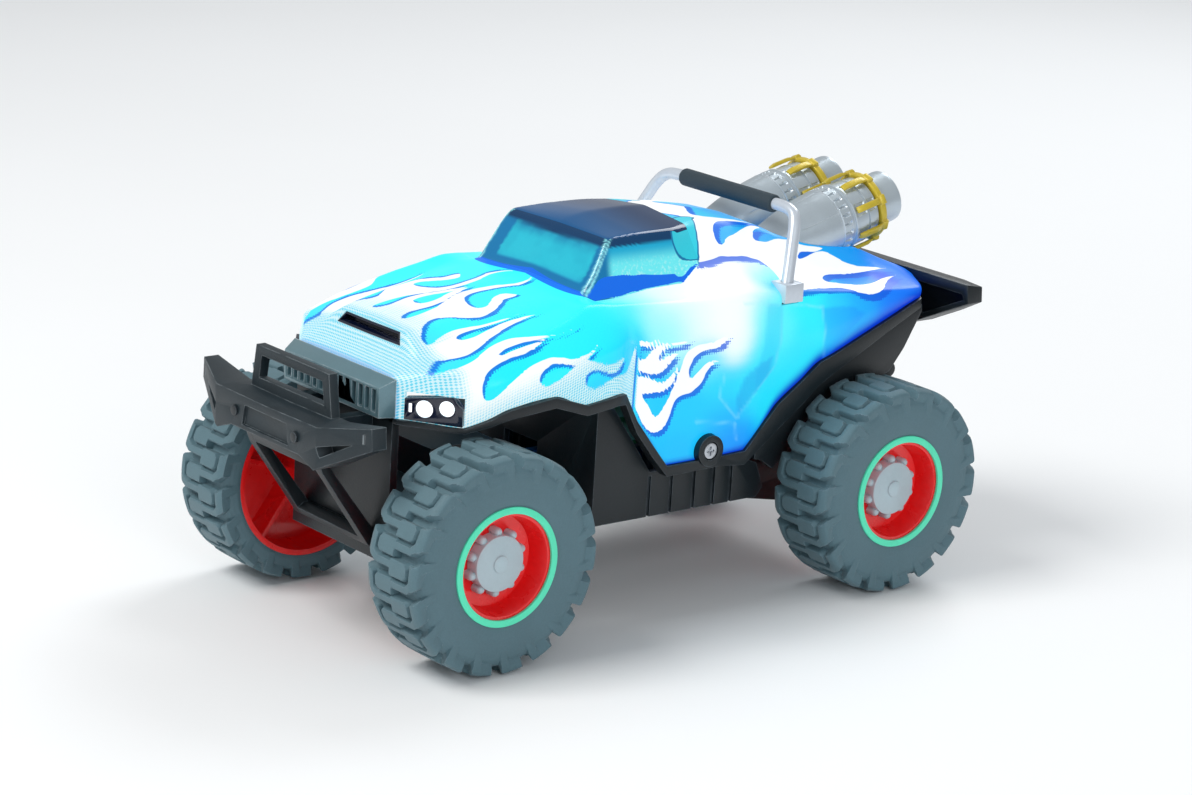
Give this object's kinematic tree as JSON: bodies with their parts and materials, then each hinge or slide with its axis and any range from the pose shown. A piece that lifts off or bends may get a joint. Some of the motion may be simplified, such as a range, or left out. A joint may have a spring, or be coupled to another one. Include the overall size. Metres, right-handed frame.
{
  "type": "rc stunt car",
  "caption": "Remote control stunt car: glowing flame-striped shell on lugged tyres, with steering, geared rear axle, bull bar, roll bar and twin boosters.",
  "frame": {"origin": "on the floor, under the middle of the wheelbase and of the car", "axes": "front of the car towards -Y, its left side towards +X, up +Z"},
  "size_m": [0.149, 0.292, 0.1502],
  "materials": {
    "shell": "translucent gloss, printed flames, lit from inside",
    "glazing": "tinted translucent gloss",
    "roof": "dark blue gloss",
    "black_plastic": "satin black",
    "bezel": "black gloss",
    "lens": "clear over white light",
    "silver_paint": "metallic silver paint",
    "gold_paint": "metallic gold paint",
    "pad": "soft black foam",
    "steel": "plain steel",
    "bush": "sintered bronze",
    "motor": "zinc plated",
    "gear_plastic": "natural acetal",
    "pinion_brass": "turned brass",
    "battery": "shrink wrap",
    "board": "solder mask",
    "switch": "satin black",
    "tyre": "soft matt rubber",
    "rim": "red gloss",
    "ring": "pale mint satin",
    "cap": "light grey satin"
  },
  "bodies": {
    "chassis": {"chassis_tub": "black_plastic", "rear_frame": "black_plastic", "side_skirts": "black_plastic", "body_shell": "shell", "window_canopy": "glazing", "roof_panel": "roof", "scoop_insert": "black_plastic", "grille": "silver_paint", "headlight_bezels": "bezel", "headlight_lenses": "lens", "front_bumper": "black_plastic", "bumper_bolts": "steel", "skid_guard": "black_plastic", "roll_bar": "silver_paint", "roll_bar_pad": "pad", "roll_bar_feet": "silver_paint", "booster_left": "silver_paint", "booster_right": "silver_paint", "claws_left": "gold_paint", "claws_right": "gold_paint", "rear_wing": "black_plastic", "side_screws": "steel", "gearbox_left": "black_plastic", "gearbox_right": "black_plastic", "axle_bushes": "bush", "gear_shaft": "steel", "drive_motor": "motor", "steering_cover": "black_plastic", "steering_unit": "black_plastic", "battery_pack": "battery", "circuit_board": "board", "light_board": "board"},
    "knuckle_left": {"knuckle_left": "black_plastic", "stub_axle_left": "steel"},
    "knuckle_right": {"knuckle_right": "black_plastic", "stub_axle_right": "steel"},
    "front_wheel_left": {"front_tyre_left": "tyre", "front_rim_left": "rim", "front_ring_left": "ring", "front_cap_left": "cap"},
    "front_wheel_right": {"front_tyre_right": "tyre", "front_rim_right": "rim", "front_ring_right": "ring", "front_cap_right": "cap"},
    "steering_rack": {"steering_rack": "black_plastic"},
    "steering_pinion": {"steering_pinion": "gear_plastic"},
    "rear_axle": {"rear_axle": "steel", "axle_gear": "gear_plastic", "rear_tyre_left": "tyre", "rear_rim_left": "rim", "rear_ring_left": "ring", "rear_cap_left": "cap", "rear_tyre_right": "tyre", "rear_rim_right": "rim", "rear_ring_right": "ring", "rear_cap_right": "cap"},
    "compound_gear": {"compound_gear": "gear_plastic"},
    "motor_pinion": {"motor_pinion": "pinion_brass"},
    "battery_door": {"battery_door": "black_plastic"},
    "power_switch": {"power_switch": "switch"}
  },
  "joints": [
    {"name": "steer_left", "type": "hinge", "parent": "chassis", "child": "knuckle_left", "pos_m": [0.04, -0.093, 0.04], "axis": [0, 0, 1], "range_deg": [-18, 18]},
    {"name": "steer_right", "type": "hinge", "parent": "chassis", "child": "knuckle_right", "pos_m": [-0.04, -0.093, 0.04], "axis": [0, 0, 1], "range_deg": [-18.01, 18.01]},
    {"name": "steering_rack_slide", "type": "slide", "parent": "chassis", "child": "steering_rack", "axis": [1, 0, 0], "range_m": [-0.0044, 0.0044]},
    {"name": "steering_pinion_spin", "type": "hinge", "parent": "chassis", "child": "steering_pinion", "pos_m": [0, -0.0709, 0.0403], "axis": [0, 0, 1], "range_deg": [-63, 63]},
    {"name": "front_wheel_left_spin", "type": "hinge", "parent": "knuckle_left", "child": "front_wheel_left", "pos_m": [0.0587, -0.093, 0.04], "axis": [1, 0, 0], "continuous": true},
    {"name": "front_wheel_right_spin", "type": "hinge", "parent": "knuckle_right", "child": "front_wheel_right", "pos_m": [-0.0587, -0.093, 0.04], "axis": [1, 0, 0], "continuous": true},
    {"name": "rear_axle_spin", "type": "hinge", "parent": "chassis", "child": "rear_axle", "pos_m": [0, 0.093, 0.04], "axis": [1, 0, 0], "continuous": true},
    {"name": "compound_gear_spin", "type": "hinge", "parent": "chassis", "child": "compound_gear", "pos_m": [0, 0.07835, 0.04846], "axis": [1, 0, 0], "continuous": true},
    {"name": "motor_pinion_spin", "type": "hinge", "parent": "chassis", "child": "motor_pinion", "pos_m": [0, 0.06423, 0.04846], "axis": [1, 0, 0], "continuous": true},
    {"name": "battery_door_swing", "type": "hinge", "parent": "chassis", "child": "battery_door", "pos_m": [-0.0158, 0, 0.034], "axis": [0, 1, 0], "range_deg": [0, 70]},
    {"name": "power_switch_slide", "type": "slide", "parent": "chassis", "child": "power_switch", "axis": [0, 1, 0], "range_m": [0, 0.003]}
  ],
  "couplings": [
    {"joint": "steer_right", "follows": "steer_left", "ratio": 1},
    {"joint": "steering_rack_slide", "follows": "steer_left", "m_per_rad": -0.0139},
    {"joint": "steering_pinion_spin", "follows": "steer_left", "ratio": -3.475},
    {"joint": "compound_gear_spin", "follows": "rear_axle_spin", "ratio": -3},
    {"joint": "motor_pinion_spin", "follows": "rear_axle_spin", "ratio": 9}
  ]
}
